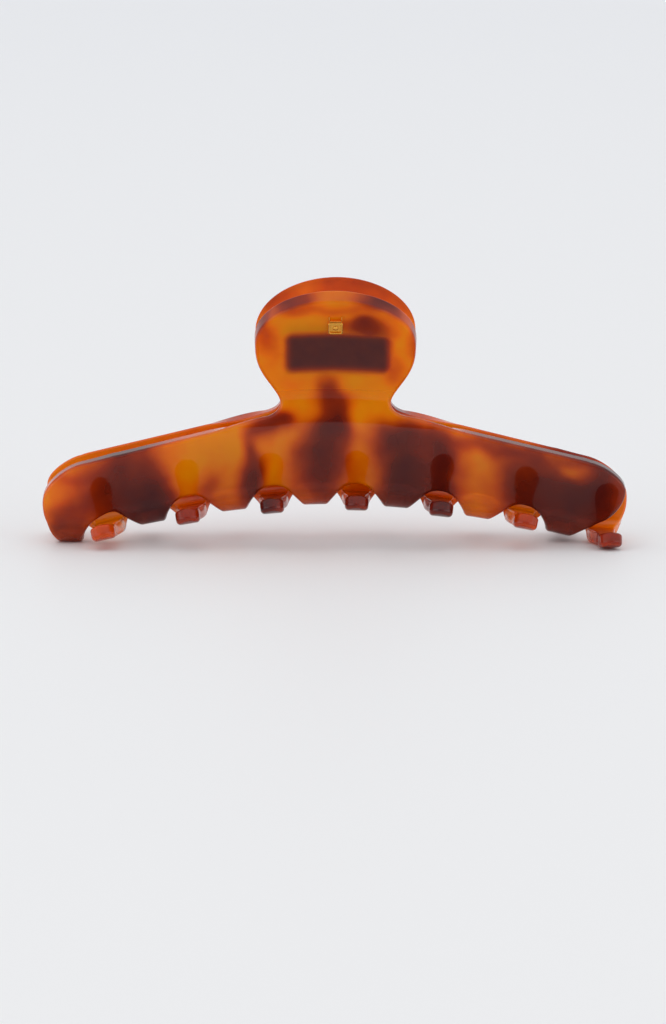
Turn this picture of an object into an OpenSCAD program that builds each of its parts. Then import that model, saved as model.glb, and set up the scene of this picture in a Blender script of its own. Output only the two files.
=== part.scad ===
// Large claw clip: two toothed plates, a spring-loaded hinge between their heads,
// and one small square stud on the front head. Millimetres, +Z up, X along the jaw.
// The origin is on the surface the clip stands on, under the middle of the hinge.

/* [Plates] */
// Thickness of each plate
plate_t = 3.0; // [2.6:0.1:3.2]
// Distance between neighbouring teeth along the jaw
tooth_pitch = 15.17; // [14.8:0.01:15.4]
// Width of one tooth
tooth_w = 5.0; // [4.4:0.1:5.6]
// Width a tooth loses on each side between its root and its waist
tooth_taper = 0.75; // [0.4:0.05:0.9]
// Thickness shaved off the upper side of a tooth so it clears the other plate
tooth_thin = 0.35; // [0.2:0.05:0.5]
// Rise of each gap between teeth over the line of the tooth roots
notch_rise = 0.6; // [0.3:0.05:0.8]
// Straight reach of a tooth past the bend
tooth_reach = 7.9; // [6:0.1:9]
// Upturn of the tooth tips in degrees
tip_turn = 35; // [10:1:40]
// Rise of the toothed edge over the table at the middle of the jaw
arch_rise = 6.75; // [6:0.05:7]

/* [Head] */
// Half width of the head at its widest
head_hw = 14.46; // [13:0.02:16]
// Half width of the neck
neck_hw = 9.76; // [9:0.02:11]
// Height of the head above its widest line, measured along the plate
head_rise = 9.8; // [9:0.05:11]

/* [Hinge] */
// Height of the hinge axis above the table
axis_z = 35.5; // [35:0.1:36]
// Radius of the hinge pin
pin_r = 1.1; // [1:0.05:1.2]
// Radial running clearance between the pin and the back ears
run_gap = 0.05; // [0.02:0.01:0.1]
// Outer radius of the hinge ears
ear_r = 3.2; // [2.8:0.1:3.3]
// Half length of the hinge along its axis
hinge_hl = 9.0; // [8.5:0.1:9.5]
// Wire diameter of the spring
wire_d = 0.9; // [0.8:0.05:1.0]
// Mean radius of the spring coil
coil_r = 2.05; // [1.95:0.05:2.1]

/* [Stud] */
// Side of the square stud
stud_side = 2.7; // [2:0.1:4]
// Height of the middle of the stud above the table
stud_z = 40.2; // [38:0.1:42]

/* [Hidden] */

// ---- profile of a plate across the jaw: [length, lean at the start, lean at the end] ----
// Lean is 90 along a tooth, which lies flat, and 0 on an upright wall.
bend_r = 3.5;                          // mid radius of the bend from wall to tooth
body_w0 = 2.45;                        // mid wall to the middle plane where the wall begins
tip_r = 6;
tip_len = tip_r * tip_turn * PI / 180;
bend_len = bend_r * 75 * PI / 180;
q_tip = -(bend_len + tooth_reach + tip_len);
w_bend = body_w0 - bend_r * cos(15);
tooth_segs = [[tip_len, 90 + tip_turn, 90], [tooth_reach, 90, 90], [bend_len, 90, 15]];
arm_segs = concat(tooth_segs, [[11, 15, 8], [60, 8, 8]]);
head_segs = concat(tooth_segs, [[7.5, 15, 7], [2, 7, -6], [6, -6, -6], [2.5, -6, 10],
                                [8, 10, 30], [12, 30, 42], [20, 42, 42]]);
start_p = [w_bend - tooth_reach - tip_r * sin(tip_turn),
           plate_t / 2 + tip_r * (1 - cos(tip_turn))];

function arc_step(p, d, l0, l1, len) =
    let (dl = l1 - l0)
    abs(dl) < 0.001 ? [p[0] + d * sin(l0), p[1] + d * cos(l0)] :
    let (r = len / (dl * PI / 180), l = l0 + dl * d / len)
    [p[0] + r * (cos(l0) - cos(l)), p[1] + r * (sin(l) - sin(l0))];

// rows of a chain: [start q, start point, segment]
function chain(segs, i, q, p) = i >= len(segs) ? [] :
    concat([[q, p, segs[i]]],
           chain(segs, i + 1, q + segs[i][0],
                 arc_step(p, segs[i][0], segs[i][1], segs[i][2], segs[i][0])));
arm_chain = chain(arm_segs, 0, q_tip, start_p);
head_chain = chain(head_segs, 0, q_tip, start_p);

function on_chain(ch, q, i = 0) =
    (i == len(ch) - 1 || q <= ch[i + 1][0]) ?
        arc_step(ch[i][1], q - ch[i][0], ch[i][2][1], ch[i][2][2], ch[i][2][0])
        : on_chain(ch, q, i + 1);

function clamp01(v) = max(0, min(1, v));
function soft(v) = let (c = clamp01(v)) c * c * (3 - 2 * c);
function mix(a, b, k) = a + (b - a) * k;

// how much of the head's own profile is used at (x, q)
function head_part(x, q) =
    1 - soft((abs(x) - 9 - 6 * soft((q - 11) / 4)) / 13);

// rise of the toothed edge over the table
// The outermost tooth stands flat; the edge climbs from it to its top near the middle.
function arch(x) = arch_rise * (1 - pow(min(1, abs(x + 1) / 47), 1.8)) * soft((x + 45.6) / 6);
// The arm over the outermost tooth lies a little lower than the other arm.
function low_end(x) = 0.0078 * (min(max(x, -45.3), 4) + 45.3);

// middle surface of the front plate; xt is the middle of the tooth that q < 0 lies on
function mid(x, q, xt) =
    let (k = head_part(x, q), a = on_chain(arm_chain, q), h = on_chain(head_chain, q),
         p = k > 0 ? mix(a, h, k) : a,
         pull = 1 - 0.03 * soft(-q / bend_len),
         splay = max(0, -q - 3) * 0.0026 * xt)
    [x * pull + splay, -p[0], arch(x * pull) + p[1]];

function unit(v) = v / norm(v);
// teeth are thinner than the sheet: shaved on the upper side, and under the tip
function thin_up(q) = tooth_thin * soft((-q - 1.2) / 3);
function thin_low(q) = 0.3 * soft((-q - 10) / 4);
function skin_pair(x, q, xt) =
    let (m = mid(x, q, xt), e = 0.02,
         dx = mid(x + e, q, xt) - mid(x - e, q, xt),
         dq = mid(x, q + e, xt) - mid(x, q - e, xt),
         n = unit(cross(dx, dq)))
    [m + n * (plate_t / 2 - thin_low(q)), m - n * (plate_t / 2 - thin_up(q))];

// ---- outline of a plate in (x, q) ----
step_x = tooth_pitch / 8;
NT = 12;      // rows along a tooth
NB = 6;       // rows up the wall
NH = 13;      // rows up the head
q_neck = 15;
q_wide = 28.5;
left_x = 51.8;       // left edge at q = 0
left_end = 52.8;     // outermost point on the left
right_x = 47.3;
right_end = 52.3;

function tooth_x(k) = (k - 3.25) * tooth_pitch;

// upper edge of the arms, as a height above the table, then as q
function arm_top_z(x) = 20.85 + (21.5 - abs(x)) * 0.238 + low_end(x);
function arm_top_line(x) = (arm_top_z(x) - arch(x) - 4.09) / 0.985;
function arm_top(x) =
    let (u = clamp01((abs(x) - neck_hw) / 2.6), ql = arm_top_line(x),
         xe = x < 0 ? left_end : right_end, qm = x < 0 ? 4 : 6,
         v = clamp01((abs(x) - 45.5) / (xe - 45.5)))
    abs(x) <= neck_hw ? q_neck :
    v > 0 ? qm + (ql - qm) * sqrt(1 - v * v) :
    ql + (q_neck - arm_top_line(sign(x) * neck_hw)) * pow(1 - u, 3);
function arm_low(x) =
    x < -left_x ? 4 - 4 * sqrt(1 - pow(min(1, (-x - left_x) / (left_end - left_x)), 2)) :
    x > right_x ? 6 * (1 - pow(1 - pow(min(1, (x - right_x) / (right_end - right_x)), 1.6), 0.6)) :
    notch_lift(x);
// the gaps between teeth arch up a little: 0 in the middle of a tooth, all of it between two
function notch_lift(x) = abs(x + tooth_pitch / 4) > 3 * tooth_pitch ? 0 :
    notch_rise * (0.5 - 0.5 * cos(360 * (x / tooth_pitch + 0.25)));

// columns of the wall, left to right: [x at the foot, x at the top]
function bent(x) =
    let (xn = 5 * step_x)
    abs(x) <= xn ? x * neck_hw / xn :
    abs(x) < xn + 4 * step_x ?
        sign(x) * mix(neck_hw, xn + 4 * step_x, (abs(x) - xn) / (4 * step_x)) : x;
x_lo = tooth_x(0) + tooth_pitch / 2;
x_hi = tooth_x(6) - tooth_pitch / 2;
left_cap = [for (v = [0.985, 0.9, 0.6]) -mix(left_x, left_end, v)];
first_cols = [for (j = [0:7]) mix(-left_x, x_lo, j / 8)];
mid_cols = [for (j = [0:40]) x_lo + j * step_x];
last_cols = [for (j = [1:8]) mix(x_hi, right_x, j / 8)];
right_cap = [for (v = [0.3, 0.55, 0.78, 0.92, 0.985]) mix(right_x, right_end, v)];
cols = concat(left_cap, first_cols, mid_cols, last_cols, right_cap);
NC = len(cols) - 1;
C0 = len(left_cap);              // column at the left edge of the first tooth
CN = C0 + 8 + (round(-5 - x_lo / step_x));   // column at the left side of the neck
CR = C0 + 56;                    // column at the right edge of the last tooth

function wall_xq(c, r) =
    let (xb = cols[c], xt = bent(xb), f = r / NB)
    [mix(xb, xt, f), mix(arm_low(xb), arm_top(xt), f)];

function neck_to_wide(q) = head_hw - (head_hw - neck_hw) * soft(pow(clamp01((q_wide - q) / (q_wide - q_neck)), 1.6));
last_phi = 64;
function head_xq(i, r) =
    let (f = r / NH, n1 = 6,
         low = r <= n1,
         q = low ? mix(q_neck, q_wide, r / n1) : 0,
         phi = low ? 0 : last_phi * (r - n1) / (NH - n1),
         hw = low ? neck_to_wide(q) : head_hw * cos(phi),
         qe = low ? q : q_wide + head_rise * sin(phi),
         x = hw * i / 5,
         crown = q_wide + head_rise * sqrt(1 - pow(x / head_hw, 2)),
         edge = q_wide + head_rise * sin(last_phi))
    [x, qe + (low ? 0 : soft((r - n1) / (NH - n1)) * (crown - edge) * (abs(i) == 5 ? 0 : 1))];

// rows along a tooth, from the wall to the tip
tooth_q = [0, -0.45, -1.2, -2.2, -3.4, -bend_len, -8.5,
           -bend_len - tooth_reach, q_tip + 2, q_tip + 1, q_tip + 0.5, q_tip + 0.12, q_tip];
function tip_cut(q) = q > q_tip + 1 ? 0 : 1 - sqrt(max(0, 1 - pow(1 - (q - q_tip), 2)));
// half width of a tooth: it narrows to a waist, widens a little and ends round
function tooth_hw(q) = tooth_w / 2 - tooth_taper * soft((-q - 4.5) / 6.5)
    + 0.2 * soft((-q - 12.2) / 2.2) - tip_cut(q);
function notch_hw(q) = q <= -4.5 ? tooth_hw(q) :
    tooth_w / 2 + (tooth_pitch - tooth_w) / 2 * (1 - sqrt(max(0, 1 - pow((q + 4.5) / 4.5, 2))));
function tooth_xq(k, j, r) =
    let (q = tooth_q[r], c = tooth_x(k), h = notch_hw(q), s = clamp01((q + 4.5) / 4.5),
         foot = k == 0 ? (j == 8 ? x_lo : first_cols[j]) : k == 6 ? (j == 0 ? x_hi : last_cols[j - 1]) : c + (j / 8 - 0.5) * tooth_pitch,
         lo = k == 0 ? mix(c - tooth_hw(min(q, -4.5)), -left_x, soft(s)) : c - h,
         hi = k == 6 ? c + tooth_hw(min(q, -4.5)) + (right_x - c - tooth_w / 2) * pow(s, 3) : c + h)
    [mix(lo, hi, j / 8), q + notch_lift(foot) * clamp01((q + 1.5) / 1.5), c];

// ---- one numbered list of outline points, and the faces over it ----
NW = (NC + 1) * (NB + 1);
NHP = 11 * NH;
function wid(c, r) = c * (NB + 1) + r;
function hid(i, r) = r == 0 ? wid(CN + i, NB) : NW + (r - 1) * 11 + i;
function tid(k, j, r) = r == 0 ? wid(C0 + 8 * k + j, 0) : NW + NHP + (k * NT + r - 1) * 9 + j;

flat_pts = concat(
    [for (c = [0:NC]) for (r = [0:NB]) let (p = wall_xq(c, r)) [p[0], p[1], 0]],
    [for (r = [1:NH]) for (i = [0:10]) let (p = head_xq(i - 5, r)) [p[0], p[1], 0]],
    [for (k = [0:6]) for (r = [1:NT]) for (j = [0:8]) tooth_xq(k, j, r)]);
NP = len(flat_pts);

quads = concat(
    [for (c = [0:NC - 1]) for (r = [0:NB - 1]) [wid(c, r), wid(c + 1, r), wid(c + 1, r + 1), wid(c, r + 1)]],
    [for (i = [0:9]) for (r = [0:NH - 1]) [hid(i, r), hid(i + 1, r), hid(i + 1, r + 1), hid(i, r + 1)]],
    [for (k = [0:6]) for (j = [0:7]) for (r = [0:NT - 1])
        [tid(k, j, r + 1), tid(k, j + 1, r + 1), tid(k, j + 1, r), tid(k, j, r)]]);

// outline edges, counter-clockwise seen from the front
rim = concat(
    [for (r = [0:NB - 1]) [wid(0, r + 1), wid(0, r)]],
    [for (c = [0:C0 - 1]) [wid(c, 0), wid(c + 1, 0)]],
    [for (k = [0:6]) for (r = [0:NT - 1]) [tid(k, 0, r), tid(k, 0, r + 1)]],
    [for (k = [0:6]) for (j = [0:7]) [tid(k, j, NT), tid(k, j + 1, NT)]],
    [for (k = [0:6]) for (r = [0:NT - 1]) [tid(k, 8, r + 1), tid(k, 8, r)]],
    [for (c = [CR:NC - 1]) [wid(c, 0), wid(c + 1, 0)]],
    [for (r = [0:NB - 1]) [wid(NC, r), wid(NC, r + 1)]],
    [for (c = [CN + 10:NC - 1]) [wid(c + 1, NB), wid(c, NB)]],
    [for (r = [0:NH - 1]) [hid(10, r), hid(10, r + 1)]],
    [for (i = [0:9]) [hid(i + 1, NH), hid(i, NH)]],
    [for (r = [0:NH - 1]) [hid(0, r + 1), hid(0, r)]],
    [for (c = [0:CN - 1]) [wid(c + 1, NB), wid(c, NB)]]);

module toothed_plate() {
    pairs = [for (p = flat_pts) skin_pair(p[0], p[1], p[2])];
    polyhedron(
        points = concat([for (p = pairs) p[0]], [for (p = pairs) p[1]]),
        faces = concat(
            [for (f = quads) [f[2], f[1], f[0]]],
            [for (f = quads) [f[3], f[2], f[0]]],
            [for (f = quads) [f[0] + NP, f[1] + NP, f[2] + NP]],
            [for (f = quads) [f[0] + NP, f[2] + NP, f[3] + NP]],
            [for (e = rim) [e[0], e[1], e[1] + NP]],
            [for (e = rim) [e[0], e[1] + NP, e[0] + NP]]),
        convexity = 8);
}

// The plate whose teeth point away from the viewer
module front_plate() {
    color("saddlebrown") toothed_plate();
}

// The same plate turned half a turn, so its teeth fall between the others
module back_plate() {
    color("chocolate") rotate([0, 0, 180]) toothed_plate();
}

// ---- hinge ----
pad_lo = 31.0;
pad_hi = 38.3;
pad_in = 2.7;
// Pad against the inner face of a head; it sits a little way into the plate
module pad() {
    rotate([90, 0, 90]) translate([0, 0, -hinge_hl]) linear_extrude(2 * hinge_hl)
        polygon([[-pad_in, pad_lo], [-3.2, pad_lo], [-4.1, 33.5], [-6.2, pad_hi], [-pad_in, pad_hi]]);
}
// A plain round bar along the hinge axis from x0 to x1
module axis_rod(r, x0, x1) {
    translate([x0, 0, axis_z]) rotate([0, 90, 0]) cylinder(r = r, h = x1 - x0, $fn = 64);
}
// One ear between x0 and x1, with the web that joins it to its pad
module ear(x0, x1) {
    axis_rod(ear_r, x0, x1);
    translate([x0, -3.4, axis_z - 2.6]) cube([x1 - x0, 3.4, 4.6]);
}

// Outer pair of ears, pressed on to the pin
module front_hinge_block() {
    color("#3a2416") difference() {
        union() {
            difference() {
                pad();
                axis_rod(ear_r + 0.25, -6, 6);
            }
            ear(-hinge_hl, -6);
            ear(6, hinge_hl);
        }
        axis_rod(pin_r, -hinge_hl - 1, hinge_hl + 1);
    }
}

// Inner pair of ears, which turn on the pin
module back_hinge_block() {
    color("#3a2416") difference() {
        union() {
            difference() {
                rotate([0, 0, 180]) pad();
                axis_rod(ear_r + 0.25, -hinge_hl - 1, -5.9);
                axis_rod(ear_r + 0.25, 5.9, hinge_hl + 1);
            }
            rotate([0, 0, 180]) ear(-5.9, -3.2);
            rotate([0, 0, 180]) ear(3.2, 5.9);
        }
        axis_rod(pin_r + run_gap, -hinge_hl - 1, hinge_hl + 1);
    }
}

// Pin with a low round head at each end
module hinge_pin() {
    color("silver") {
        axis_rod(pin_r, -hinge_hl - 0.5, hinge_hl + 0.5);
        for (s = [-1, 1]) translate([s * hinge_hl, 0, axis_z]) rotate([0, s * 90, 0])
            rotate_extrude($fn = 48) polygon([[0, 0], [1.8, 0], [1.75, 0.25], [1.4, 0.5], [0.8, 0.66], [0, 0.7]]);
    }
}

// Coil round the pin; each leg climbs beside its pad and turns over the pad's top
coil_turn = 5.5 * 360;
coil_hl = 2.65;
leg_up = [[4.9, 39.8], [3.6, 39.4], [2.65, 39.0], [2.2, 38.5], [2.05, 37.9], [2.05, 36.6]];
spring_path = concat(
    [for (p = leg_up) [-coil_hl, p[0], p[1]]],
    [for (i = [0:88]) let (f = i / 88, a = -f * coil_turn)
        [mix(-coil_hl, coil_hl, f), coil_r * cos(a), axis_z + coil_r * sin(a)]],
    [for (i = [len(leg_up) - 1:-1:0]) [coil_hl, -leg_up[i][0], leg_up[i][1]]]);
function tangent(i) = unit(spring_path[min(i + 1, len(spring_path) - 1)] - spring_path[max(i - 1, 0)]);
module torsion_spring() {
    ns = 8;
    n = len(spring_path);
    color("lightsteelblue") polyhedron(
        points = [for (i = [0:n - 1]) let (t = tangent(i), b = unit([1, 0, 0] - t[0] * t), c = cross(t, b))
            for (s = [0:ns - 1]) spring_path[i] + wire_d / 2 * (cos(360 * s / ns) * b + sin(360 * s / ns) * c)],
        faces = concat(
            [[for (s = [0:ns - 1]) s]],
            [[for (s = [ns - 1:-1:0]) (n - 1) * ns + s]],
            [for (i = [0:n - 2]) for (s = [0:ns - 1]) let (s2 = (s + 1) % ns)
                [i * ns + s, (i + 1) * ns + s, (i + 1) * ns + s2]],
            [for (i = [0:n - 2]) for (s = [0:ns - 1]) let (s2 = (s + 1) % ns)
                [i * ns + s, (i + 1) * ns + s2, i * ns + s2]]),
        convexity = 10);
}

// Low square stud on the front head, with a short peg into the plate
stud_q = 26 + (stud_z - 36.0 + 0.9) / 0.84;
stud_lean = 30 + (stud_q - 26);
module gold_stud() {
    m = mid(0, stud_q, 0);
    color("gold") translate(m) rotate([90 + stud_lean, 0, 0]) {
        cylinder(r = 0.6, h = plate_t / 2 + 0.3, $fn = 32);
        translate([0, 0, plate_t / 2]) {
            linear_extrude(0.55) square(stud_side, center = true);
            translate([0, 0, 0.55]) linear_extrude(0.25) square(stud_side - 0.7, center = true);
        }
    }
}

front_plate();
back_plate();
front_hinge_block();
back_hinge_block();
hinge_pin();
torsion_spring();
gold_stud();
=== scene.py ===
import bpy, bmesh, math
import numpy as np
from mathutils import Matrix, Quaternion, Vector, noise
from mathutils.geometry import delaunay_2d_cdt


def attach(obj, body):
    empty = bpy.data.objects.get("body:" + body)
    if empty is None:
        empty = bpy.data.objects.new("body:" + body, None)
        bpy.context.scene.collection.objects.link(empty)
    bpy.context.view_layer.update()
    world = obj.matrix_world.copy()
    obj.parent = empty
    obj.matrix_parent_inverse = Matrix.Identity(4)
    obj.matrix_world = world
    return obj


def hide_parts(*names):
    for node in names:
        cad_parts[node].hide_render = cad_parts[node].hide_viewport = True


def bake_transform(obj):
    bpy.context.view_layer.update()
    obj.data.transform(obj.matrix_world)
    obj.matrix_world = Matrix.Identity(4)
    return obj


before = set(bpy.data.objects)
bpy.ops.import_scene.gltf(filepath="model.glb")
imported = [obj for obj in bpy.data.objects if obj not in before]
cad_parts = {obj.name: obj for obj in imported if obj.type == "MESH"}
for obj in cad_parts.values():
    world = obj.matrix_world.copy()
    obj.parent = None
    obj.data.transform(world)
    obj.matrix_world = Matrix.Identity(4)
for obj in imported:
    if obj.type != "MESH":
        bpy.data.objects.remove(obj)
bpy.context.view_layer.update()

MM = 0.001

# ---------------------------------------------------------------- plate shape (mm), the same rules as the CAD
T = 3.0
PITCH = 15.17
TOOTH_W = 5.0
REACH = 7.9
HEAD_HW, NECK_HW, HEAD_RISE = 14.46, 9.76, 9.8
Q_NECK, Q_WIDE = 15.0, 28.5
LEFT_X, LEFT_END, RIGHT_X, RIGHT_END = 51.8, 52.8, 47.3, 52.3
BEND_R, TIP_R, TIP_TURN = 3.5, 6.0, 35.0
TIP_CUT = 2.15
TIP_LEN = TIP_R * math.radians(TIP_TURN)
BEND_LEN = BEND_R * math.radians(75)
Q_TIP = -(BEND_LEN + REACH + TIP_LEN)
W_BEND = 2.45 - BEND_R * math.cos(math.radians(15))
TOOTH_SEGS = [(TIP_LEN, 90 + TIP_TURN, 90), (REACH, 90, 90), (BEND_LEN, 90, 15)]
ARM_SEGS = TOOTH_SEGS + [(11, 15, 8), (60, 8, 8)]
HEAD_SEGS = TOOTH_SEGS + [(7.5, 15, 7), (2, 7, -6), (6, -6, -6), (2.5, -6, 10), (8, 10, 30), (12, 30, 42), (20, 42, 42)]
START = (W_BEND - REACH - TIP_R * math.sin(math.radians(TIP_TURN)),
         T / 2 + TIP_R * (1 - math.cos(math.radians(TIP_TURN))))


def arc_step(p, d, l0, l1, length):
    if abs(l1 - l0) < 0.001:
        a = math.radians(l0)
        return p[0] + d * math.sin(a), p[1] + d * math.cos(a)
    r = length / math.radians(l1 - l0)
    l = np.radians(l0 + (l1 - l0) * d / length)
    a = math.radians(l0)
    return p[0] + r * (math.cos(a) - np.cos(l)), p[1] + r * (np.sin(l) - math.sin(a))


def on_chain(segs, q):
    """Position on a profile at q, for an array of q."""
    q = np.asarray(q, float)
    w, z = np.zeros_like(q), np.zeros_like(q)
    q0, p = Q_TIP, START
    for i, (length, l0, l1) in enumerate(segs):
        last = i == len(segs) - 1
        m = (q >= q0 if i else np.ones(q.shape, bool)) & (np.ones(q.shape, bool) if last else q < q0 + length)
        if m.any():
            a, b = arc_step(p, q[m] - q0, l0, l1, length)
            w[m], z[m] = a, b
        p = tuple(float(v) for v in arc_step(p, length, l0, l1, length))
        q0 += length
    return w, z


def soft(v):
    c = np.clip(v, 0, 1)
    return c * c * (3 - 2 * c)


def arch(x):
    return 6.75 * (1 - np.minimum(1, np.abs(x + 1) / 47) ** 1.8) * soft((x + 45.6) / 6)


def low_end(x):
    return 0.0078 * (np.minimum(np.maximum(x, -45.3), 4) + 45.3)


def head_part(x, q):
    return 1 - soft((np.abs(x) - 9 - 6 * soft((q - 11) / 4)) / 13)


def mid(x, q, xt):
    k = head_part(x, q)
    aw, az = on_chain(ARM_SEGS, q)
    hw, hz = on_chain(HEAD_SEGS, q)
    w, z = aw + (hw - aw) * k, az + (hz - az) * k
    pull = 1 - 0.03 * soft(-q / BEND_LEN)
    splay = np.maximum(0, -q - 3) * 0.0026 * xt
    return np.stack([x * pull + splay, -w, arch(x * pull) + z], 1)


def unit(v):
    return v / np.maximum(np.linalg.norm(v, axis=1, keepdims=True), 1e-12)


def surface(x, q):
    """Mid surface, its two unit tangents and its outward normal."""
    xt = (np.clip(np.round(x / PITCH + 3.25), 0, 6) - 3.25) * PITCH
    e = 0.02
    m = mid(x, q, xt)
    dx = mid(x + e, q, xt) - mid(x - e, q, xt)
    dq = mid(x, q + e, xt) - mid(x, q - e, xt)
    return m, unit(dx), unit(dq), unit(np.cross(dx, dq))


# ---------------------------------------------------------------- outline of a plate in (x, q)
def tooth_x(k):
    return (k - 3.25) * PITCH


def arm_top_line(x):
    z = 20.85 + (21.5 - abs(x)) * 0.238 + float(low_end(np.array(x)))
    return (z - float(arch(np.array(float(x)))) - 4.09) / 0.985


def arm_top(x):
    if abs(x) <= NECK_HW:
        return Q_NECK
    u = min(1, max(0, (abs(x) - NECK_HW) / 2.6))
    ql = arm_top_line(x)
    xe, qm = (LEFT_END, 4) if x < 0 else (RIGHT_END, 6)
    v = min(1, max(0, (abs(x) - 45.5) / (xe - 45.5)))
    if v > 0:
        return qm + (ql - qm) * math.sqrt(1 - v * v)
    return ql + (Q_NECK - arm_top_line(math.copysign(NECK_HW, x))) * (1 - u) ** 3


def tip_cut(q):
    u = TIP_CUT - (q - Q_TIP)
    return 0.0 if u < 0 else TIP_CUT - math.sqrt(max(0, TIP_CUT ** 2 - u ** 2))


def tooth_hw(q):
    return TOOTH_W / 2 - 0.92 * float(soft((-q - 4.5) / 5.7)) + 0.66 * float(soft((-q - 10.8) / 2.3)) - tip_cut(q)


def lifted(q):
    """The gaps between teeth arch up a little."""
    return q + 0.6 * min(1, max(0, (q + 1.5) / 1.5))


def notch_hw(q):
    if q <= -4.5:
        return tooth_hw(q)
    return TOOTH_W / 2 + (PITCH - TOOTH_W) / 2 * (1 - math.sqrt(max(0, 1 - ((q + 4.5) / 4.5) ** 2)))


def neck_to_wide(q):
    t = min(1, max(0, (Q_WIDE - q) / (Q_WIDE - Q_NECK)))
    return HEAD_HW - (HEAD_HW - NECK_HW) * float(soft(t ** 1.6))


def outline():
    """Counter-clockwise in (x, q), starting at the left end."""
    pts = []
    for a in np.linspace(90, 0, 12)[:-1]:
        pts.append((-LEFT_X - math.sin(math.radians(a)), 4 - 4 * math.cos(math.radians(a))))
    down = [-4.5 * (1 - math.cos(t)) for t in np.linspace(0.0, math.pi / 2, 16)] + list(np.linspace(-4.8, Q_TIP + TIP_CUT + 0.1, 22))
    down += [Q_TIP + TIP_CUT * (1 - math.sin(t)) for t in np.linspace(0.0, math.pi / 2, 11)]
    for k in range(7):
        c = tooth_x(k)
        for q in down:
            if k == 0:
                f = float(soft((q + 4.5) / 4.5))
                x = (c - tooth_hw(min(q, -4.5))) * (1 - f) - LEFT_X * f
                pts.append((x, q))
            else:
                pts.append((c - notch_hw(q), lifted(q)))
        for q in reversed(down):
            if k == 6:
                f = max(0, min(1, (q + 4.5) / 4.5)) ** 3
                pts.append((c + tooth_hw(min(q, -4.5)) + (RIGHT_X - c - TOOTH_W / 2) * f, q))
            else:
                pts.append((c + notch_hw(q), lifted(q)))
    for v in np.linspace(0.05, 1, 14):
        v = math.sin(v * math.pi / 2)
        pts.append((RIGHT_X + (RIGHT_END - RIGHT_X) * v, 6 * (1 - (1 - v ** 1.6) ** 0.6)))
    for a in np.linspace(88, 3, 18):
        x = 45.5 + (RIGHT_END - 45.5) * math.sin(math.radians(a))
        pts.append((x, arm_top(x)))
    for x in np.linspace(45.5, NECK_HW + 0.02, 90):
        pts.append((x, arm_top(x)))
    for q in np.linspace(Q_NECK, Q_WIDE, 30):
        pts.append((neck_to_wide(q), q))
    for a in np.linspace(3, 177, 90):
        pts.append((HEAD_HW * math.cos(math.radians(a)), Q_WIDE + HEAD_RISE * math.sin(math.radians(a))))
    for q in np.linspace(Q_WIDE, Q_NECK, 30):
        pts.append((-neck_to_wide(q), q))
    for x in np.linspace(-NECK_HW - 0.02, -45.5, 90):
        pts.append((x, arm_top(x)))
    for a in np.linspace(3, 88, 18):
        x = -45.5 - (LEFT_END - 45.5) * math.sin(math.radians(a))
        pts.append((x, arm_top(x)))
    return np.array(pts)


def resample(p, step):
    d = np.linalg.norm(np.roll(p, -1, 0) - p, axis=1)
    keep = d > 1e-6
    p, d = p[keep], d[keep]
    d = np.linalg.norm(np.roll(p, -1, 0) - p, axis=1)
    s = np.concatenate([[0], np.cumsum(d)])
    n = int(s[-1] / step)
    t = np.linspace(0, s[-1], n, endpoint=False)
    q = np.vstack([p, p[:1]])
    return np.stack([np.interp(t, s, q[:, i]) for i in range(2)], 1)


def relax(p, times, k=0.5):
    for _ in range(times):
        p = p + k * ((np.roll(p, 1, 0) + np.roll(p, -1, 0)) / 2 - p)
    return p


def out_normal(p):
    t = np.roll(p, -1, 0) - np.roll(p, 1, 0)
    n = np.stack([t[:, 1], -t[:, 0]], 1)
    return n / np.maximum(np.linalg.norm(n, axis=1, keepdims=True), 1e-9)


def inside(pts, poly):
    res = np.zeros(len(pts), bool)
    x0, y0 = poly[:, 0], poly[:, 1]
    x1, y1 = np.roll(x0, -1), np.roll(y0, -1)
    for i in range(0, len(pts), 2000):
        px, py = pts[i:i + 2000, 0][:, None], pts[i:i + 2000, 1][:, None]
        c = ((y0 > py) != (y1 > py)) & (px < (x1 - x0) * (py - y0) / np.where(y1 == y0, 1e-12, y1 - y0) + x0)
        res[i:i + 2000] = (c.sum(1) % 2) == 1
    return res


def nearest(pts, poly):
    out = np.zeros(len(pts))
    for i in range(0, len(pts), 1500):
        out[i:i + 1500] = np.sqrt(((pts[i:i + 1500, None, :] - poly[None]) ** 2).sum(2).min(1))
    return out


def rings(edge, radius, steps):
    """Insets of the outline for a rounded edge: [(points, inset share, height share)], from the side wall inwards."""
    out, p, last = [], edge.copy(), 0.0
    for i in range(steps + 1):
        a = math.radians(90 * i / steps)          # 0 on the side wall, 90 on the face
        d = radius * (1 - math.cos(a))
        if i:
            p = relax(p - out_normal(p) * (d - last), 1, 0.25)
        last = d
        out.append((p.copy(), math.cos(a), math.sin(a)))
    return out


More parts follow.
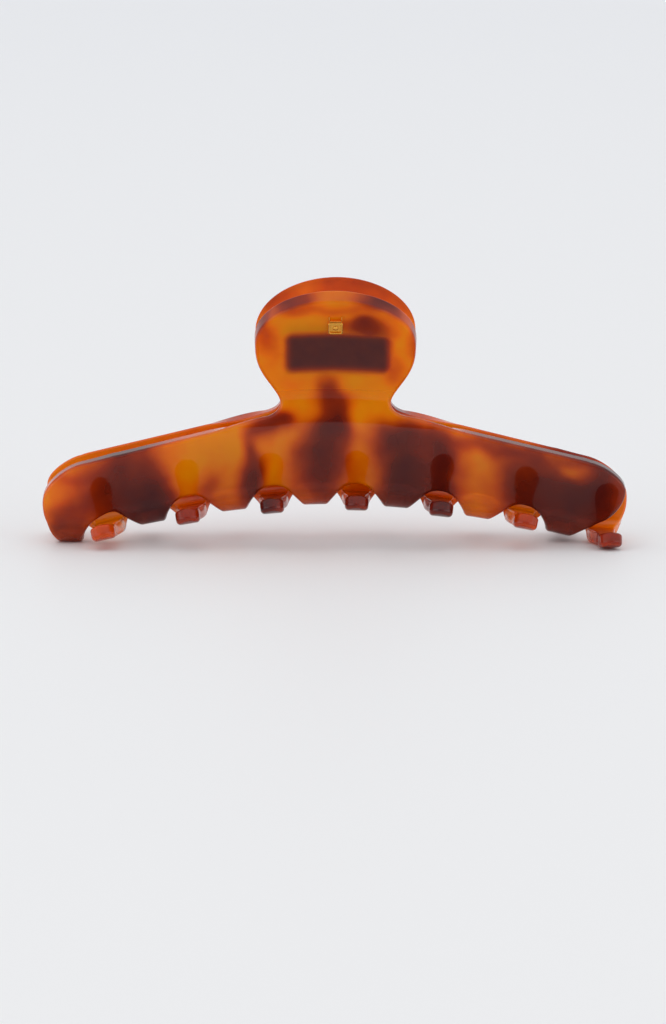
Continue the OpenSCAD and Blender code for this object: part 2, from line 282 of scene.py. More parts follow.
def build_plate_data(step=0.3, cell=0.62):
    edge = relax(resample(outline(), step), 9)
    edge = relax(resample(edge, step), 2)
    n_edge = out_normal(edge)
    R_OUT, R_IN = 0.75, 0.45
    outer = rings(edge, R_OUT, 5)
    inner = rings(edge, R_IN, 3)
    K = len(edge)
    face_ring = outer[-1][0]
    xs = np.arange(edge[:, 0].min(), edge[:, 0].max(), cell)
    ys = np.arange(edge[:, 1].min(), edge[:, 1].max(), cell * math.sqrt(3) / 2)
    grid = np.array([(x + (cell / 2 if j % 2 else 0), y) for j, y in enumerate(ys) for x in xs])
    grid = grid[inside(grid, face_ring)]
    grid = grid[nearest(grid, face_ring) > cell * 0.5]
    co = [Vector(p) for p in face_ring] + [Vector(p) for p in grid]
    res = delaunay_2d_cdt(co, [(i, (i + 1) % K) for i in range(K)], [], 1, 1e-7)
    verts, faces, orig = res[0], res[2], res[3]
    assert len(verts) == len(co), "outline crosses itself"
    back = [o[0] for o in orig]
    tris = np.array([[back[i] for i in f] for f in faces if len(f) == 3])
    allp = np.vstack([face_ring, grid])
    c = allp[tris].mean(1)
    tris = tris[inside(c, face_ring)]
    a, b, d = allp[tris[:, 0]], allp[tris[:, 1]], allp[tris[:, 2]]
    ccw = (b[:, 0] - a[:, 0]) * (d[:, 1] - a[:, 1]) - (b[:, 1] - a[:, 1]) * (d[:, 0] - a[:, 0]) > 0
    tris[~ccw] = tris[~ccw][:, ::-1]

    # rows of points: (x, q, offset along the normal, share of the edge normal, share of the face normal)
    P, S, E, F, EN = [], [], [], [], []
    def add(p, s, e, f, en):
        P.append(p); S.append(np.full(len(p), s)); E.append(np.full(len(p), e)); F.append(np.full(len(p), f)); EN.append(en)
    for p, ce, sf in outer[::-1]:                        # face ring first, side wall last
        add(p, T / 2 - R_OUT * (1 - sf), ce, sf, n_edge)
    for p, ce, sf in inner:                              # side wall first, inner face ring last
        add(p, -(T / 2 - R_IN * (1 - sf)), ce, -sf, n_edge)
    zero = np.zeros((len(grid), 2))
    add(grid, T / 2, 0.0, 1.0, zero)
    add(grid, -T / 2, 0.0, -1.0, zero)
    P, S, E, F, EN = np.vstack(P), np.concatenate(S), np.concatenate(E), np.concatenate(F), np.vstack(EN)
    # teeth are thinner than the sheet: shaved above, and under the tip
    S = np.where(S < 0, S + 0.35 * soft((-P[:, 1] - 1.2) / 3), S - 0.3 * soft((-P[:, 1] - 10) / 4))
    m, tx, tq, n = surface(P[:, 0], P[:, 1])
    co3 = m + n * S[:, None]
    edge3 = unit(tx * EN[:, :1] + tq * EN[:, 1:])
    nrm = unit(edge3 * E[:, None] * (np.abs(EN).sum(1) > 0)[:, None] + n * F[:, None])
    # the outer face is polished slightly hollow above the teeth, which turns its mirror a little downwards
    hollow = 0.24 * soft((P[:, 1] - 0.2) / 1.5) * (1 - soft((P[:, 1] - 9.0) / 3.5)) * (S > T / 2 - 0.05)
    nrm = unit(nrm - np.stack([np.zeros(len(P)), np.zeros(len(P)), hollow], 1))
    nr = len(outer) + len(inner)
    quads = []
    for r in range(nr - 1):
        for i in range(K):
            j = (i + 1) % K
            quads.append((r * K + i, (r + 1) * K + i, (r + 1) * K + j, r * K + j))
    g0 = nr * K
    G = len(grid)
    def to_outer(i):
        return np.where(i < K, i, g0 + i - K)
    def to_inner(i):
        return np.where(i < K, (nr - 1) * K + i, g0 + G + i - K)
    ft = to_outer(tris)
    bt = to_inner(tris)[:, ::-1]
    polys = [tuple(int(v) for v in f) for f in ft] + [tuple(int(v) for v in f) for f in bt] + quads
    return co3, nrm, polys, P, S


# ---------------------------------------------------------------- tortoiseshell pattern, laid out along the sheet, with painted shade mixed in
# dark clouds: [x, q, half width, half height, strength], millimetres along the sheet
FRONT_CLOUDS = [
    (-39.2, 5.2, 6.8, 8.2, 0.82), (-33.5, -0.5, 4.2, 4.2, 0.86), (-48.2, -0.9, 2.4, 3.2, 0.48), (-46.2, 3.4, 1.8, 1.7, 0.28),
    (-22.5, 0.6, 1.8, 3.6, 0.42), (-14.7, 1.9, 2.0, 6.2, 0.85), (-11.8, 10.9, 3.0, 2.1, 0.75),
    (-2.6, 4.0, 4.6, 5.6, 0.74), (-1.2, 7.0, 2.4, 3.4, 0.55), (-0.5, 15.0, 2.4, 5.0, 0.68), (-0.5, 10.4, 3.0, 2.4, 0.75),
    (12.4, 2.6, 4.8, 6.6, 0.88), (19.3, 4.1, 3.0, 7.0, 0.88), (11.6, 9.6, 4.8, 2.4, 0.70), (36.8, 3.9, 7.2, 7.2, 0.88),
    (47.5, 5.7, 5.8, 6.8, 0.90), (43.7, 9.0, 2.4, 1.4, -0.70), (5.4, 31.4, 3.9, 2.3, 0.75), (-12.2, 28.5, 2.0, 4.0, 0.30), (-0.5, 38.3, 4.6, 1.3, -0.55),
    (10.2, 22.4, 1.8, 2.8, 0.32), (-1.0, 35.5, 6.0, 0.9, 0.30), (-47.1, 9.6, 2.8, 1.2, 0.28), (28.0, 10.5, 8.0, 1.5, 0.50),
    (-8.5, 37.4, 3.6, 1.5, 0.42), (8.5, 37.0, 4.0, 1.8, 0.50), (-13.9, 33.0, 1.2, 4.0, 0.35), (14.2, 29.0, 1.2, 4.0, 0.30),
    (-49.3, -9.0, 4.0, 8.0, 0.62), (-34.1, -9.0, 4.0, 9.0, 0.90), (-19.0, -9.0, 4.0, 8.5, 0.50), (-3.8, -9.0, 4.0, 8.5, 0.55),
    (11.4, -9.0, 4.0, 9.0, 0.80), (26.5, -10.0, 4.0, 8.0, 0.45), (41.7, -9.0, 4.0, 9.0, 0.92),
]
BACK_CLOUDS = [
    (-43.0, 6.0, 6.0, 6.5, 0.80), (-29.0, 4.0, 5.4, 5.5, 0.76), (-9.0, 6.0, 5.0, 6.5, 0.85), (6.0, 9.0, 4.0, 6.0, 0.62),
    (21.0, 4.0, 6.4, 5.5, 0.80), (36.0, 6.0, 5.4, 4.6, 0.45), (-4.0, 33.0, 8.0, 3.5, 0.45), (7.0, 28.0, 5.0, 4.0, 0.5),
    (-5.0, 20.0, 4.0, 5.0, 0.5), (-3.0, 37.5, 9.0, 2.0, 0.35), (11.0, 35.0, 3.0, 4.0, 0.35),
    # the rows on the teeth darken the back teeth: partly pattern, partly painted shade of the dark surroundings the
    # teeth mirror and refract
    (41.7, -13.0, 4.0, 4.5, 0.30), (26.5, -11.5, 4.0, 7.0, 0.62), (11.4, -11.5, 4.0, 8.0, 0.97), (-3.8, -11.5, 4.0, 7.0, 0.82),
    (-19.0, -11.5, 4.0, 7.5, 0.92), (-34.1, -13.5, 4.0, 4.5, 0.46), (-49.3, -12.0, 4.0, 6.0, 0.60),
]


def fbm(x, y, z, scale, seed, octaves=3):
    return np.array([noise.fractal(Vector((a * scale + seed, b * scale - seed, c * scale)), 0.8, 2.0, octaves,
                                   noise_basis="PERLIN_ORIGINAL") for a, b, c in zip(x, y, z)])


def cloud_and_shade_field(P, S, clouds, seed):
    x, q = P[:, 0].copy(), P[:, 1].copy()
    wx, wq = fbm(x, q, S, 0.13, seed, 2), fbm(x, q, S, 0.13, seed + 31.7, 2)
    x2, q2 = x + 1.9 * wx, q + 1.9 * wq
    keep = np.ones(len(x))
    for cx, cq, rx, rq, a in clouds:
        if a > 0:
            r = ((x2 - cx) / rx) ** 2 + ((q2 - cq) / rq) ** 2
            keep *= 1 - a * np.exp(-0.62 * r ** 1.25)
    dark = 1 - keep
    for cx, cq, rx, rq, a in clouds:
        if a < 0:
            dark *= 1 + a * np.exp(-0.7 * (((x2 - cx) / rx) ** 2 + ((q2 - cq) / rq) ** 2))
    broad, fine = fbm(x, q, S, 0.10, seed + 13.3, 2), fbm(x, q, S, 0.30, seed + 7.1, 2)
    dark = dark + 0.12 * np.maximum(0, broad) + 0.05 * fine
    # painted shade: a soft-edged dark patch where the pad glued behind the head shows through the sheet; the real block
    # behind darkens it through the sheet as well
    px, pq = np.maximum(np.abs(x - 0.5) - 7.9, 0), np.maximum(np.abs(q - 26.0) - 2.7, 0)
    block_shade = 1 - soft(np.hypot(px, pq) / 2.9)
    # light takes a longer way through the rounded edges, which look a shade deeper
    rim = np.where(S > 0, np.clip((T / 2 - S) / 0.75, 0, 1), np.clip((T / 2 + S) / 0.45, 0, 1)) * soft((q + 0.5) / 2)
    # painted shade: the tooth tips darken towards their ends, standing in for the dark surroundings they mirror and
    # refract
    tip_shade = 0.12 * soft((-q - 11.0) / 3.0)
    return np.clip(np.maximum(dark + 0.38 * rim * (1 - 0.5 * np.exp(-((x + 0.5) / 4.5) ** 2) * (q > 30)) + tip_shade, 0.93 * block_shade), 0, 1), block_shade


def plate(name, data, turned, clouds, seed):
    co3, nrm, polys, P, S = data
    co, n = co3 * MM, nrm.copy()
    if turned:
        co = co * np.array([-1, -1, 1]); n = n * np.array([-1, -1, 1])
    me = bpy.data.meshes.new(name)
    me.from_pydata([tuple(v) for v in co], [], polys)
    me.update()
    me.polygons.foreach_set("use_smooth", [True] * len(me.polygons))
    me.normals_split_custom_set_from_vertices([tuple(v) for v in n])
    d, block_shade = cloud_and_shade_field(P, S, clouds, seed)
    at = me.attributes.new("cloud_and_shade", "FLOAT", "POINT")
    at.data.foreach_set("value", d.astype(np.float32))
    # hand-polished skin: brightest on the jaw and along the edges, calmer on the grip
    q, rim = P[:, 1], np.clip((T / 2 - np.abs(S)) / 0.6, 0, 1)
    g = 0.54 - 0.34 * soft((q - 14.0) / 4.0) * (1 - rim) * (1 - block_shade) + 0.05 * soft((-q - 2.0) / 4.0)
    gl = me.attributes.new("gloss", "FLOAT", "POINT")
    gl.data.foreach_set("value", g.astype(np.float32))
    # the heat-formed grip is a little milkier than the jaw
    hz = me.attributes.new("milk", "FLOAT", "POINT")
    hz.data.foreach_set("value", (0.21 + 0.13 * soft((q - 16.0) / 4.0)).astype(np.float32))
    o = bpy.data.objects.new(name, me)
    bpy.context.scene.collection.objects.link(o)
    return o


# ---------------------------------------------------------------- materials
def new_mat(name):
    m = bpy.data.materials.new(name)
    m.use_nodes = True
    nt = m.node_tree
    bsdf = nt.nodes["Principled BSDF"]
    return m, nt, bsdf


def add(nt, kind, **kw):
    n = nt.nodes.new(kind)
    for k, v in kw.items():
        setattr(n, k, v)
    return n


def acetate_material(name, tint=(1.0, 1.0, 1.0)):
    """Dyed acetate: light passes the sheet blurred, and the polished skin mirrors sharply over it."""
    m, nt, b = new_mat(name)
    L = nt.links.new
    at = add(nt, "ShaderNodeAttribute", attribute_name="cloud_and_shade", attribute_type="GEOMETRY")
    tc = add(nt, "ShaderNodeTexCoord")
    n1 = add(nt, "ShaderNodeTexNoise")
    n1.inputs["Scale"].default_value = 420.0
    n1.inputs["Detail"].default_value = 5.0
    L(tc.outputs["Object"], n1.inputs["Vector"])
    mod = add(nt, "ShaderNodeMath", operation="MULTIPLY_ADD")
    L(n1.outputs["Fac"], mod.inputs[0]); mod.inputs[1].default_value = 0.12; mod.inputs[2].default_value = -0.06
    sm = add(nt, "ShaderNodeMath", operation="ADD", use_clamp=True)
    L(at.outputs["Fac"], sm.inputs[0]); L(mod.outputs[0], sm.inputs[1])
    ramp = add(nt, "ShaderNodeValToRGB")
    e = ramp.color_ramp.elements
    def tinted(c):
        return (c[0] * tint[0], c[1] * tint[1], c[2] * tint[2], 1)
    e[0].position = 0.0; e[0].color = tinted((1.0, 0.37, 0.0))
    e[1].position = 1.0; e[1].color = tinted((0.085, 0.008, 0.008))
    for pos, col in ((0.16, (1.0, 0.25, 0.0)), (0.38, (0.76, 0.115, 0.0)), (0.60, (0.40, 0.038, 0.002)), (0.82, (0.19, 0.017, 0.006))):
        x = e.new(pos); x.color = tinted(col)
    L(sm.outputs[0], ramp.inputs["Fac"])
    L(ramp.outputs["Color"], b.inputs["Base Color"])
    # faint waviness of a hand-polished face
    n2 = add(nt, "ShaderNodeTexNoise")
    n2.inputs["Scale"].default_value = 90.0
    n2.inputs["Detail"].default_value = 2.0
    L(tc.outputs["Object"], n2.inputs["Vector"])
    bump = add(nt, "ShaderNodeBump")
    bump.inputs["Strength"].default_value = 0.012
    bump.inputs["Distance"].default_value = 0.0006
    L(n2.outputs["Fac"], bump.inputs["Height"])
    L(bump.outputs["Normal"], b.inputs["Normal"])
    L(bump.outputs["Normal"], b.inputs["Coat Normal"])
    mk = add(nt, "ShaderNodeAttribute", attribute_name="milk", attribute_type="GEOMETRY")
    L(mk.outputs["Fac"], b.inputs["Roughness"])
    b.inputs["IOR"].default_value = 1.22
    b.inputs["Specular IOR Level"].default_value = 0.0
    b.inputs["Transmission Weight"].default_value = 0.45
    gl = add(nt, "ShaderNodeAttribute", attribute_name="gloss", attribute_type="GEOMETRY")
    L(gl.outputs["Fac"], b.inputs["Coat Weight"])
    b.inputs["Coat Roughness"].default_value = 0.02
    b.inputs["Coat IOR"].default_value = 1.49
    return m


def steel_material(name, tint=(0.60, 0.60, 0.59), rough=0.28):
    m, nt, b = new_mat(name)
    L = nt.links.new
    tc = add(nt, "ShaderNodeTexCoord")
    mp = add(nt, "ShaderNodeMapping"); mp.inputs["Scale"].default_value = (400.0, 2600.0, 2600.0)
    n = add(nt, "ShaderNodeTexNoise"); n.inputs["Scale"].default_value = 1.0; n.inputs["Detail"].default_value = 4.0
    L(tc.outputs["Object"], mp.inputs["Vector"]); L(mp.outputs[0], n.inputs["Vector"])
    r = add(nt, "ShaderNodeMapRange"); r.inputs["To Min"].default_value = rough - 0.08; r.inputs["To Max"].default_value = rough + 0.12
    L(n.outputs["Fac"], r.inputs["Value"]); L(r.outputs["Result"], b.inputs["Roughness"])
    c = add(nt, "ShaderNodeValToRGB")
    c.color_ramp.elements[0].color = (*[v * 0.82 for v in tint], 1); c.color_ramp.elements[1].color = (*tint, 1)
    L(n.outputs["Fac"], c.inputs["Fac"]); L(c.outputs["Color"], b.inputs["Base Color"])
    bump = add(nt, "ShaderNodeBump"); bump.inputs["Strength"].default_value = 0.12; bump.inputs["Distance"].default_value = 0.00003
    L(n.outputs["Fac"], bump.inputs["Height"]); L(bump.outputs["Normal"], b.inputs["Normal"])
    b.inputs["Metallic"].default_value = 1.0
    return m


def gold_material(name):
    m, nt, b = new_mat(name)
    L = nt.links.new
    tc = add(nt, "ShaderNodeTexCoord")
    n = add(nt, "ShaderNodeTexNoise"); n.inputs["Scale"].default_value = 3000.0; n.inputs["Detail"].default_value = 3.0
    L(tc.outputs["Object"], n.inputs["Vector"])
    r = add(nt, "ShaderNodeMapRange"); r.inputs["To Min"].default_value = 0.14; r.inputs["To Max"].default_value = 0.28
    L(n.outputs["Fac"], r.inputs["Value"]); L(r.outputs["Result"], b.inputs["Roughness"])
    c = add(nt, "ShaderNodeValToRGB")
    c.color_ramp.elements[0].color = (0.62, 0.27, 0.03, 1); c.color_ramp.elements[1].color = (0.95, 0.52, 0.10, 1)
    L(n.outputs["Fac"], c.inputs["Fac"]); L(c.outputs["Color"], b.inputs["Base Color"])
    bump = add(nt, "ShaderNodeBump"); bump.inputs["Strength"].default_value = 0.08; bump.inputs["Distance"].default_value = 0.00002
    L(n.outputs["Fac"], bump.inputs["Height"]); L(bump.outputs["Normal"], b.inputs["Normal"])
    b.inputs["Metallic"].default_value = 1.0
    return m


def block_material(name):
    m, nt, b = new_mat(name)
    L = nt.links.new
    tc = add(nt, "ShaderNodeTexCoord")
    n = add(nt, "ShaderNodeTexNoise"); n.inputs["Scale"].default_value = 900.0; n.inputs["Detail"].default_value = 4.0
    L(tc.outputs["Object"], n.inputs["Vector"])
    c = add(nt, "ShaderNodeValToRGB")
    c.color_ramp.elements[0].color = (0.016, 0.010, 0.010, 1); c.color_ramp.elements[1].color = (0.034, 0.020, 0.018, 1)
    L(n.outputs["Fac"], c.inputs["Fac"]); L(c.outputs["Color"], b.inputs["Base Color"])
    r = add(nt, "ShaderNodeMapRange"); r.inputs["To Min"].default_value = 0.28; r.inputs["To Max"].default_value = 0.42
    L(n.outputs["Fac"], r.inputs["Value"]); L(r.outputs["Result"], b.inputs["Roughness"])
    bump = add(nt, "ShaderNodeBump"); bump.inputs["Strength"].default_value = 0.15; bump.inputs["Distance"].default_value = 0.00004
    L(n.outputs["Fac"], bump.inputs["Height"]); L(bump.outputs["Normal"], b.inputs["Normal"])
    return m


ACETATE_F = acetate_material("acetate_tortoiseshell")
# painted shade: the back plate gets a copy of the acetate tinted redder and darker, for the plate that sits behind
ACETATE_BACK_SHADED = acetate_material("acetate_tortoiseshell_back_shaded", (0.98, 0.70, 0.8))
STEEL = steel_material("spring_steel")
PIN = steel_material("pin_steel", (0.68, 0.67, 0.65), 0.22)
GOLD = gold_material("gold_plate")
BLOCK = block_material("hinge_plastic")

# ---------------------------------------------------------------- the plates
DATA = build_plate_data()
front = plate("front_plate_acetate", DATA, False, FRONT_CLOUDS, 3.0)
back = plate("back_plate_acetate", DATA, True, BACK_CLOUDS, 57.0)
for o, node, body, mat in ((front, "front_plate", "front_half", ACETATE_F), (back, "back_plate", "back_half", ACETATE_BACK_SHADED)):
    o.data.materials.append(mat)
    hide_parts(node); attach(o, body)

# ---------------------------------------------------------------- hardware: built in mm, row frame
AX = 35.5
PIN_R, GAP, EAR_R, HL = 1.1, 0.05, 3.2, 9.0


def mesh_object(name, verts, faces, mat, smooth_deg=35.0, merge=1e-4):
    me = bpy.data.meshes.new(name)
    me.from_pydata([tuple(np.asarray(v, float) * MM) for v in verts], [], faces)
    bm = bmesh.new()
    bm.from_mesh(me)
    bmesh.ops.remove_doubles(bm, verts=bm.verts, dist=merge * MM)
    bmesh.ops.recalc_face_normals(bm, faces=bm.faces)
    lim = math.radians(smooth_deg)
    for f in bm.faces:
        f.smooth = True
    for e in bm.edges:
        e.smooth = len(e.link_faces) == 2 and e.calc_face_angle(0.0) < lim
    bm.to_mesh(me)
    bm.free()
    me.materials.append(mat)
    o = bpy.data.objects.new(name, me)
    bpy.context.scene.collection.objects.link(o)
    return o


def extruded(profile, x0, x1, c=0.22, steps=3, turned=False):
    """A closed bar of one (y, z) profile between x0 and x1 with rounded end edges; returns verts, faces."""
    pr = np.array(profile, float)
    n = len(pr)
    area = 0.5 * np.sum(pr[:, 0] * np.roll(pr[:, 1], -1) - np.roll(pr[:, 0], -1) * pr[:, 1])
    if area < 0:
        pr = pr[::-1]
    e0, e1 = pr - np.roll(pr, 1, 0), np.roll(pr, -1, 0) - pr
    def nrm(e):
        v = np.stack([e[:, 1], -e[:, 0]], 1)
        return v / np.maximum(np.linalg.norm(v, axis=1, keepdims=True), 1e-9)
    n0, n1 = nrm(e0), nrm(e1)
    nn = n0 + n1
    nn = nn / np.maximum((nn * n0).sum(1, keepdims=True), 0.35)
    verts, rows = [], []
    ts = [math.radians(90 * i / steps) for i in range(steps + 1)]
    stations = [(x0 + c * (1 - math.sin(t)), c * (1 - math.cos(t))) for t in ts[::-1]]
    stations = [(x0 + c * (1 - math.cos(t)), c * (1 - math.sin(t))) for t in ts]
    stations += [(x1 - c * (1 - math.cos(t)), c * (1 - math.sin(t))) for t in ts[::-1]]
    for x, d in stations:
        p = pr - nn * d
        rows.append(len(verts))
        verts += [(x, a, b2) for a, b2 in p]
    faces = []
    for r0, r1 in zip(rows[:-1], rows[1:]):
        for i in range(n):
            j = (i + 1) % n
            faces.append((r0 + i, r0 + j, r1 + j, r1 + i))
    faces.append(tuple(rows[0] + i for i in range(n))[::-1])
    faces.append(tuple(rows[-1] + i for i in range(n)))
    if turned:
        verts = [(-x, -y, z) for x, y, z in verts]
    return verts, faces


def lathe(profile, seg=64, closed=False):
    """Turned about the hinge axis from (x, r) pairs; returns verts, faces."""
    verts, faces = [], []
    for x, r in profile:
        for k in range(seg):
            a = 2 * math.pi * k / seg
            verts.append((x, r * math.cos(a), AX + r * math.sin(a)))
    m = len(profile)
    for i in range(m if closed else m - 1):
        j = (i + 1) % m
        for k in range(seg):
            k2 = (k + 1) % seg
            faces.append((i * seg + k, j * seg + k, j * seg + k2, i * seg + k2))
    return verts, faces


def joined(parts):
    verts, faces = [], []
    for v, f in parts:
        off = len(verts)
        verts += [tuple(p) for p in v]
        faces += [tuple(i + off for i in g) for g in f]
    return verts, faces


def ring_part(x0, x1, r_in, r_out, c=0.2):
    prof = [(x0, r_in + 0.08), (x0, r_out - c), (x0 + c * 0.29, r_out - c * 0.29), (x0 + c, r_out),
            (x1 - c, r_out), (x1 - c * 0.29, r_out - c * 0.29), (x1, r_out - c), (x1, r_in + 0.08), (x1 - 0.08, r_in), (x0 + 0.08, r_in)]
    return lathe(prof, 72, closed=True)


def arc_pts(r, a0, a1, n):
    return [(r * math.cos(math.radians(a)), AX + r * math.sin(math.radians(a))) for a in np.linspace(a0, a1, n)]


# all hinge profiles are drawn for the front half, whose pad is at -y
PAD_BACK = [(-2.7, 38.05), (-2.95, 38.3), (-6.0, 38.3), (-6.2, 38.15), (-4.1, 33.5), (-3.2, 31.1), (-3.1, 31.0), (-2.95, 31.0), (-2.7, 31.25)]
WEB = PAD_BACK + [(-2.7, 32.9), (-1.75, 32.9)] + arc_pts(2.9, -124, -219, 18) + [(-2.7, 37.5)]
CUT = PAD_BACK + arc_pts(EAR_R + 0.25, 360 - 141.5, 141.5, 20)
PLAIN = PAD_BACK
fr = [extruded(WEB, -HL, -6), extruded(WEB, 6, HL), extruded(CUT, -6.1, 6.1, 0.05, 1), ring_part(-HL, -6, PIN_R, EAR_R), ring_part(6, HL, PIN_R, EAR_R)]
bk = [extruded(WEB, 3.2, 5.9, turned=True), extruded(WEB, -5.9, -3.2, turned=True), extruded(PLAIN, -3.3, 3.3, 0.05, 1, turned=True),
      extruded(CUT, 5.8, HL, turned=True), extruded(CUT, -HL, -5.8, turned=True),
      ring_part(3.2, 5.9, PIN_R + GAP, EAR_R), ring_part(-5.9, -3.2, PIN_R + GAP, EAR_R)]
front_block = mesh_object("front_hinge_knuckles", *joined(fr), BLOCK)
back_block = mesh_object("back_hinge_knuckles", *joined(bk), BLOCK)

half = [(9.72, 0.001)] + [(9.0 + 0.7 * math.cos(math.radians(a)), 0.05 + 1.72 * math.sin(math.radians(a))) for a in np.linspace(6, 84, 12)] + [(9.02, 1.8), (9.0, 1.72), (9.0, PIN_R)]
pin_prof = half + [(-x, r) for x, r in half[::-1]]
pin = mesh_object("hinge_pin_turned", *lathe(pin_prof, 64), PIN)

# spring: one smooth round wire; each leg climbs beside its pad
leg = [(4.9, 39.8), (3.6, 39.4), (2.65, 39.0), (2.2, 38.5), (2.05, 37.9), (2.05, 36.6)]
CH, CR, TURNS = 2.65, 2.05, 5.5
ctl = [(-CH, y, z) for y, z in leg]
ctl += [(-CH + 2 * CH * f, CR * math.cos(-f * TURNS * 2 * math.pi), AX + CR * math.sin(-f * TURNS * 2 * math.pi)) for f in np.linspace(0, 1, 133)]
ctl += [(CH, -y, z) for y, z in leg[::-1]]
ctl = np.array(ctl)
path = []
for i in range(len(ctl) - 1):
    p0, p1, p2, p3 = ctl[max(i - 1, 0)], ctl[i], ctl[i + 1], ctl[min(i + 2, len(ctl) - 1)]
    k = 4 if i < 6 or i > len(ctl) - 8 else 2
    for j in range(k):
        t = j / k
        path.append(0.5 * (2 * p1 + (p2 - p0) * t + (2 * p0 - 5 * p1 + 4 * p2 - p3) * t * t + (3 * p1 - p0 - 3 * p2 + p3) * t ** 3))
path.append(ctl[-1])
path = np.array(path)
verts, faces, NSIDE, WR = [], [], 16, 0.45
for i in range(len(path)):
    t = path[min(i + 1, len(path) - 1)] - path[max(i - 1, 0)]
    t = t / np.linalg.norm(t)
    b1 = np.array([1.0, 0, 0]) - t[0] * t
    b1 = b1 / np.linalg.norm(b1)
    c1 = np.cross(t, b1)
    end = min(i, len(path) - 1 - i)
    r = WR * (0.72 if end == 0 else 0.93 if end == 1 else 1.0)
    for k in range(NSIDE):
        a = 2 * math.pi * k / NSIDE
        verts.append(path[i] + r * (math.cos(a) * b1 + math.sin(a) * c1))
for i in range(len(path) - 1):
    for k in range(NSIDE):
        k2 = (k + 1) % NSIDE
        faces.append((i * NSIDE + k, (i + 1) * NSIDE + k, (i + 1) * NSIDE + k2, i * NSIDE + k2))
faces.append(tuple(range(NSIDE)))
faces.append(tuple((len(path) - 1) * NSIDE + k for k in range(NSIDE))[::-1])
spring = mesh_object("torsion_spring_wire", verts, faces, STEEL, 60.0)

# stud: a square cap with rounded corners, a sunk panel with a low dome in it, and two thin prongs over it
SQ = 26 + (40.2 - 36.0 + 0.9) / 0.84
SL = math.radians(30 + (SQ - 26))
SM = mid(np.array([0.0]), np.array([SQ]), np.array([0.0]))[0]
UP, OUT = np.array([0, -math.sin(SL), math.cos(SL)]), np.array([0, -math.cos(SL), -math.sin(SL)])


def on_stud(x, y, z):
    return SM + np.array([x, 0, 0]) + UP * y + OUT * (z + T / 2)


def square_ring(hw, r, n=6):
    out = []
    for cx, cy, a0 in ((1, 1, 0), (-1, 1, 90), (-1, -1, 180), (1, -1, 270)):
        for a in np.linspace(a0, a0 + 90, n):
            out.append((cx * (hw - r) + r * math.cos(math.radians(a)), cy * (hw - r) + r * math.sin(math.radians(a))))
    return out


def stack(levels, cx=0.0, cy=0.0, sx=1.0, sy=1.0, cap=True):
    verts, faces, n = [], [], None
    for hw, r, z in levels:
        ring = square_ring(hw, r)
        n = len(ring)
        verts += [on_stud(cx + a * sx, cy + b2 * sy, z) for a, b2 in ring]
    for i in range(len(levels) - 1):
        for k in range(n):
            k2 = (k + 1) % n
            faces.append((i * n + k, i * n + k2, (i + 1) * n + k2, (i + 1) * n + k))
    if cap:
        faces.append(tuple(range(n))[::-1])
        faces.append(tuple((len(levels) - 1) * n + k for k in range(n)))
    return verts, faces


cap = stack([(1.30, 0.30, -0.25), (1.35, 0.35, 0.0), (1.35, 0.35, 0.58), (1.32, 0.33, 0.70), (1.24, 0.30, 0.78), (1.08, 0.24, 0.80),
             (0.99, 0.20, 0.76), (0.95, 0.18, 0.66), (0.93, 0.16, 0.50)])
dome = stack([(0.52, 0.51, 0.45), (0.50, 0.49, 0.56), (0.42, 0.41, 0.66), (0.28, 0.27, 0.72), (0.12, 0.11, 0.75)])
prongs = []
for sgn in (-1, 1):
    prongs.append(stack([(0.09, 0.04, -0.1), (0.09, 0.04, 0.30), (0.06, 0.03, 0.36)], sgn * 1.12, 1.75, 1.0, 7.5))
bar = stack([(0.09, 0.04, -0.1), (0.09, 0.04, 0.52), (0.05, 0.03, 0.58)], 0.0, 1.50, 13.5, 1.0)
stud = mesh_object("gold_stud_cap", *joined([cap, dome, bar] + prongs), GOLD, 40.0)

for o, node, body, slot_name in ((front_block, "front_hinge_block", "front_half", "hinge_plastic"), (back_block, "back_hinge_block", "back_half", "hinge_plastic"),
                                 (pin, "hinge_pin", "front_half", "steel"), (stud, "gold_stud", "front_half", "gold")):
    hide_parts(node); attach(o, body)
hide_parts("torsion_spring")
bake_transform(spring)

# ---------------------------------------------------------------- floor, light, camera
sc = bpy.context.scene
me = bpy.data.meshes.new("floor")
me.from_pydata([(-12, -12, 0), (12, -12, 0), (12, 12, 0), (-12, 12, 0)], [], [(0, 1, 2, 3)])
floor = bpy.data.objects.new("floor", me)
sc.collection.objects.link(floor)
fm, nt, b = new_mat("floor_white")
# painted shade: the floor's colour runs darker and bluer towards the back, standing in for the light falling off with
# distance
ftc = add(nt, "ShaderNodeTexCoord")
fsep = add(nt, "ShaderNodeSeparateXYZ")
nt.links.new(ftc.outputs["Object"], fsep.inputs[0])
fr_ = add(nt, "ShaderNodeMapRange")
fr_.inputs["From Min"].default_value = -0.35; fr_.inputs["From Max"].default_value = 1.6
nt.links.new(fsep.outputs["Y"], fr_.inputs["Value"])
fcol = add(nt, "ShaderNodeValToRGB")
fcol.color_ramp.elements[0].color = (0.865, 0.868, 0.878, 1)
fcol.color_ramp.elements[1].color = (0.800, 0.812, 0.838, 1)
nt.links.new(fr_.outputs["Result"], fcol.inputs["Fac"])
nt.links.new(fcol.outputs["Color"], b.inputs["Base Color"])
b.inputs["Roughness"].default_value = 0.55
b.inputs["Specular IOR Level"].default_value = 0.25
me.materials.append(fm)

w = bpy.data.worlds.new("studio")
sc.world = w
w.use_nodes = True
nt = w.node_tree
bg = nt.nodes["Background"]
tc = nt.nodes.new("ShaderNodeTexCoord")
sep = nt.nodes.new("ShaderNodeSeparateXYZ")
nt.links.new(tc.outputs["Generated"], sep.inputs[0])
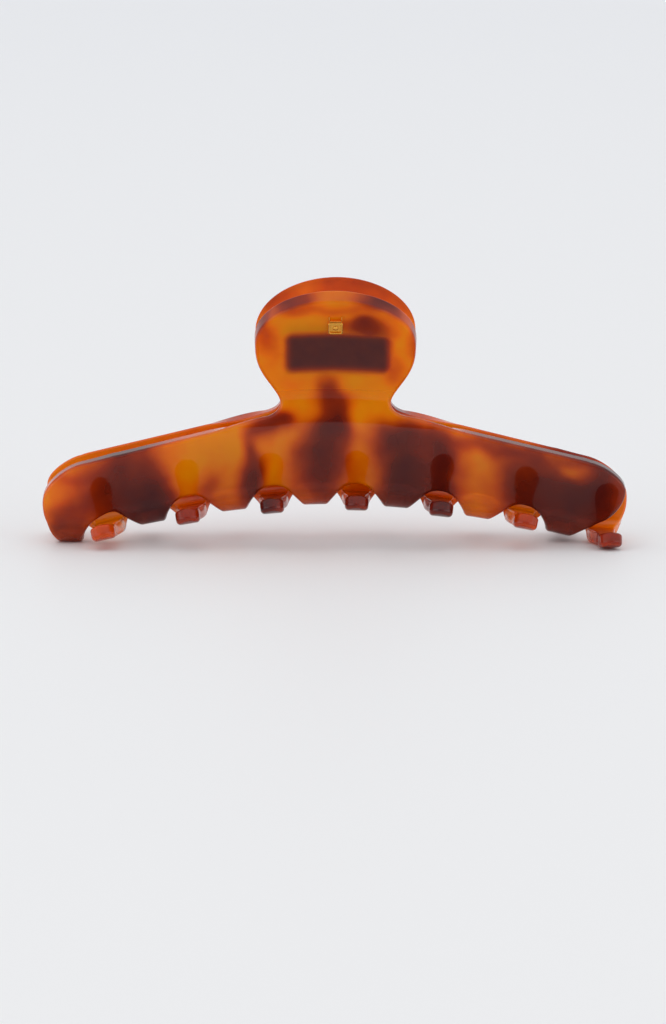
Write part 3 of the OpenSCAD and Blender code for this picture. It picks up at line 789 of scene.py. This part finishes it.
# bright overhead and behind, dim towards the viewer's side near the horizon
up = nt.nodes.new("ShaderNodeMapRange"); up.interpolation_type = "SMOOTHSTEP"
up.inputs["From Min"].default_value = 0.05; up.inputs["From Max"].default_value = 0.75
nt.links.new(sep.outputs["Z"], up.inputs["Value"])
bk = nt.nodes.new("ShaderNodeMapRange"); bk.interpolation_type = "SMOOTHSTEP"
bk.inputs["From Min"].default_value = -0.35; bk.inputs["From Max"].default_value = 0.5
nt.links.new(sep.outputs["Y"], bk.inputs["Value"])
mx = nt.nodes.new("ShaderNodeMath"); mx.operation = "MAXIMUM"
nt.links.new(up.outputs["Result"], mx.inputs[0]); nt.links.new(bk.outputs["Result"], mx.inputs[1])
st = nt.nodes.new("ShaderNodeMapRange")
st.inputs["To Min"].default_value = 0.10; st.inputs["To Max"].default_value = 0.975
nt.links.new(mx.outputs[0], st.inputs["Value"])
# two low, wide soft boxes left and right of the viewer
ab = nt.nodes.new("ShaderNodeMath"); ab.operation = "ABSOLUTE"
nt.links.new(sep.outputs["X"], ab.inputs[0])
sd = nt.nodes.new("ShaderNodeMapRange"); sd.interpolation_type = "SMOOTHSTEP"
sd.inputs["From Min"].default_value = 0.38; sd.inputs["From Max"].default_value = 0.60
nt.links.new(ab.outputs[0], sd.inputs["Value"])
lo = nt.nodes.new("ShaderNodeMapRange"); lo.interpolation_type = "SMOOTHSTEP"
lo.inputs["From Min"].default_value = 0.30; lo.inputs["From Max"].default_value = 0.55
lo.inputs["To Min"].default_value = 1.0; lo.inputs["To Max"].default_value = 0.0
nt.links.new(sep.outputs["Z"], lo.inputs["Value"])
fr2 = nt.nodes.new("ShaderNodeMapRange"); fr2.interpolation_type = "SMOOTHSTEP"
fr2.inputs["From Min"].default_value = -0.2; fr2.inputs["From Max"].default_value = 0.2
fr2.inputs["To Min"].default_value = 1.0; fr2.inputs["To Max"].default_value = 0.0
nt.links.new(sep.outputs["Y"], fr2.inputs["Value"])
pr = nt.nodes.new("ShaderNodeMath"); pr.operation = "MULTIPLY"
nt.links.new(sd.outputs["Result"], pr.inputs[0]); nt.links.new(lo.outputs["Result"], pr.inputs[1])
pr2 = nt.nodes.new("ShaderNodeMath"); pr2.operation = "MULTIPLY"
nt.links.new(pr.outputs[0], pr2.inputs[0]); nt.links.new(fr2.outputs["Result"], pr2.inputs[1])
tot = nt.nodes.new("ShaderNodeMath"); tot.operation = "MULTIPLY_ADD"
nt.links.new(pr2.outputs[0], tot.inputs[0]); tot.inputs[1].default_value = 1.6
nt.links.new(st.outputs["Result"], tot.inputs[2])
nt.links.new(tot.outputs[0], bg.inputs["Strength"])
bg.inputs["Color"].default_value = (0.985, 0.99, 1.0, 1)

sc.view_settings.view_transform = "Standard"

cam = bpy.data.cameras.new("camera")
co = bpy.data.objects.new("camera", cam)
sc.collection.objects.link(co)
sc.camera = co
DIST, ELEV, PX_MM = 1.1, 8.0, 5.53
cam.sensor_width = 36.0
cam.lens = 36.0 * PX_MM * DIST * 1000 / 1024
el = math.radians(ELEV)
target = Vector((-0.00045, 0.0, 0.00540))
away = Vector((0.0, -math.cos(el), math.sin(el)))
co.location = target + away * DIST
co.rotation_mode = "QUATERNION"
co.rotation_quaternion = (-away).to_track_quat("-Z", "Y")
cam.clip_start, cam.clip_end = 0.01, 100.0
